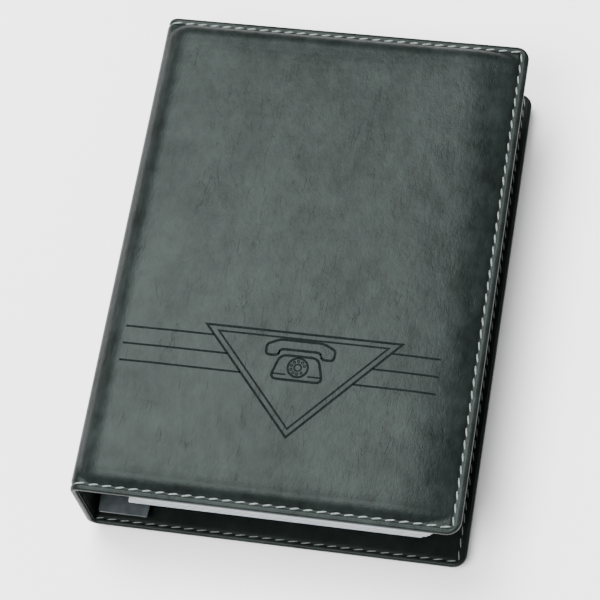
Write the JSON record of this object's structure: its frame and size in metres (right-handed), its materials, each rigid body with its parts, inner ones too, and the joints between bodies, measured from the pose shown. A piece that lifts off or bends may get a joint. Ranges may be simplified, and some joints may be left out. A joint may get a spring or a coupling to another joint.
{
  "type": "ring-bound telephone index",
  "caption": "Ring-bound telephone index: a padded, stitched leatherette cover hinged on a flat spine, and a ring mechanism that holds tabbed index dividers and ruled sheets.",
  "frame": {"origin": "centre of the closed book's footprint, on the surface that it lies on", "axes": "+X from the spine to the fore-edge, +Y from the tail to the head, +Z from the back cover to the front cover"},
  "size_m": [0.162, 0.224, 0.0532],
  "materials": {
    "leatherette": "satin",
    "lining": "matte",
    "thread": "matte",
    "lining_thread": "matte",
    "board": "matte",
    "foam": "matte",
    "plated_steel": "satin",
    "trigger_steel": "satin",
    "paper": "matte",
    "index_card": "matte"
  },
  "bodies": {
    "back_cover": {"back_board": "board", "back_pad": "foam", "back_skin": "leatherette", "back_lining": "lining", "back_seam_outer": "thread", "back_seam_inner": "lining_thread", "ring_plate": "plated_steel", "tail_rivet": "plated_steel", "head_rivet": "plated_steel", "divider_mn": "index_card", "sheets_mn": "paper", "divider_op": "index_card", "sheets_op": "paper", "divider_qr": "index_card", "sheets_qr": "paper", "divider_st": "index_card", "sheets_st": "paper", "divider_uv": "index_card", "sheets_uv": "paper", "divider_wxyz": "index_card", "sheets_wxyz": "paper"},
    "spine": {"spine_board": "board", "spine_skin": "leatherette", "spine_lining": "lining", "spine_seam_head": "thread", "spine_seam_tail": "thread"},
    "front_cover": {"front_board": "board", "front_pad": "foam", "front_skin": "leatherette", "front_lining": "lining", "front_seam_outer": "thread", "front_seam_inner": "lining_thread"},
    "front_sheets": {"owner_sheet": "paper", "divider_ab": "index_card", "sheets_ab": "paper", "divider_cd": "index_card", "sheets_cd": "paper", "divider_ef": "index_card", "sheets_ef": "paper", "divider_gh": "index_card", "sheets_gh": "paper", "divider_ij": "index_card", "sheets_ij": "paper", "divider_kl": "index_card", "sheets_kl": "paper"},
    "left_rings": {"left_blade": "plated_steel", "left_ring_1": "plated_steel", "left_ring_2": "plated_steel", "left_ring_3": "plated_steel", "left_ring_4": "plated_steel"},
    "right_rings": {"right_blade": "plated_steel", "right_ring_1": "plated_steel", "right_ring_2": "plated_steel", "right_ring_3": "plated_steel", "right_ring_4": "plated_steel"},
    "tail_trigger": {"tail_trigger": "trigger_steel"},
    "head_trigger": {"head_trigger": "trigger_steel"}
  },
  "joints": [
    {"name": "spine_fold", "type": "hinge", "parent": "back_cover", "child": "spine", "pos_m": [-0.0793, 0, 0.0059], "axis": [0, -1, 0], "range_deg": [0, 90]},
    {"name": "front_fold", "type": "hinge", "parent": "spine", "child": "front_cover", "pos_m": [-0.0793, 0, 0.0473], "axis": [0, -1, 0], "range_deg": [0, 90]},
    {"name": "sheets_turn", "type": "hinge", "parent": "back_cover", "child": "front_sheets", "pos_m": [-0.0608, 0, 0.0293], "axis": [0, -1, 0], "range_deg": [0, 180]},
    {"name": "tail_trigger_press", "type": "hinge", "parent": "back_cover", "child": "tail_trigger", "pos_m": [-0.0645, -0.098, 0.01], "axis": [1, 0, 0], "range_deg": [0, 15], "stiffness_Nm_per_rad": 0.05, "springref_deg": -5.73},
    {"name": "head_trigger_press", "type": "hinge", "parent": "back_cover", "child": "head_trigger", "pos_m": [-0.0645, 0.098, 0.01], "axis": [-1, 0, 0], "range_deg": [0, 15]},
    {"name": "left_rings_open", "type": "hinge", "parent": "back_cover", "child": "left_rings", "pos_m": [-0.0747, 0, 0.0096], "axis": [0, -1, 0], "range_deg": [0, 5]},
    {"name": "right_rings_open", "type": "hinge", "parent": "back_cover", "child": "right_rings", "pos_m": [-0.0543, 0, 0.0096], "axis": [0, 1, 0], "range_deg": [0, 5]}
  ],
  "couplings": [
    {"joint": "spine_fold", "follows": "front_fold", "ratio": 1},
    {"joint": "sheets_turn", "follows": "front_fold", "ratio": 2},
    {"joint": "head_trigger_press", "follows": "tail_trigger_press", "ratio": 1},
    {"joint": "left_rings_open", "follows": "tail_trigger_press", "ratio": 0.33333},
    {"joint": "right_rings_open", "follows": "tail_trigger_press", "ratio": 0.33333}
  ]
}
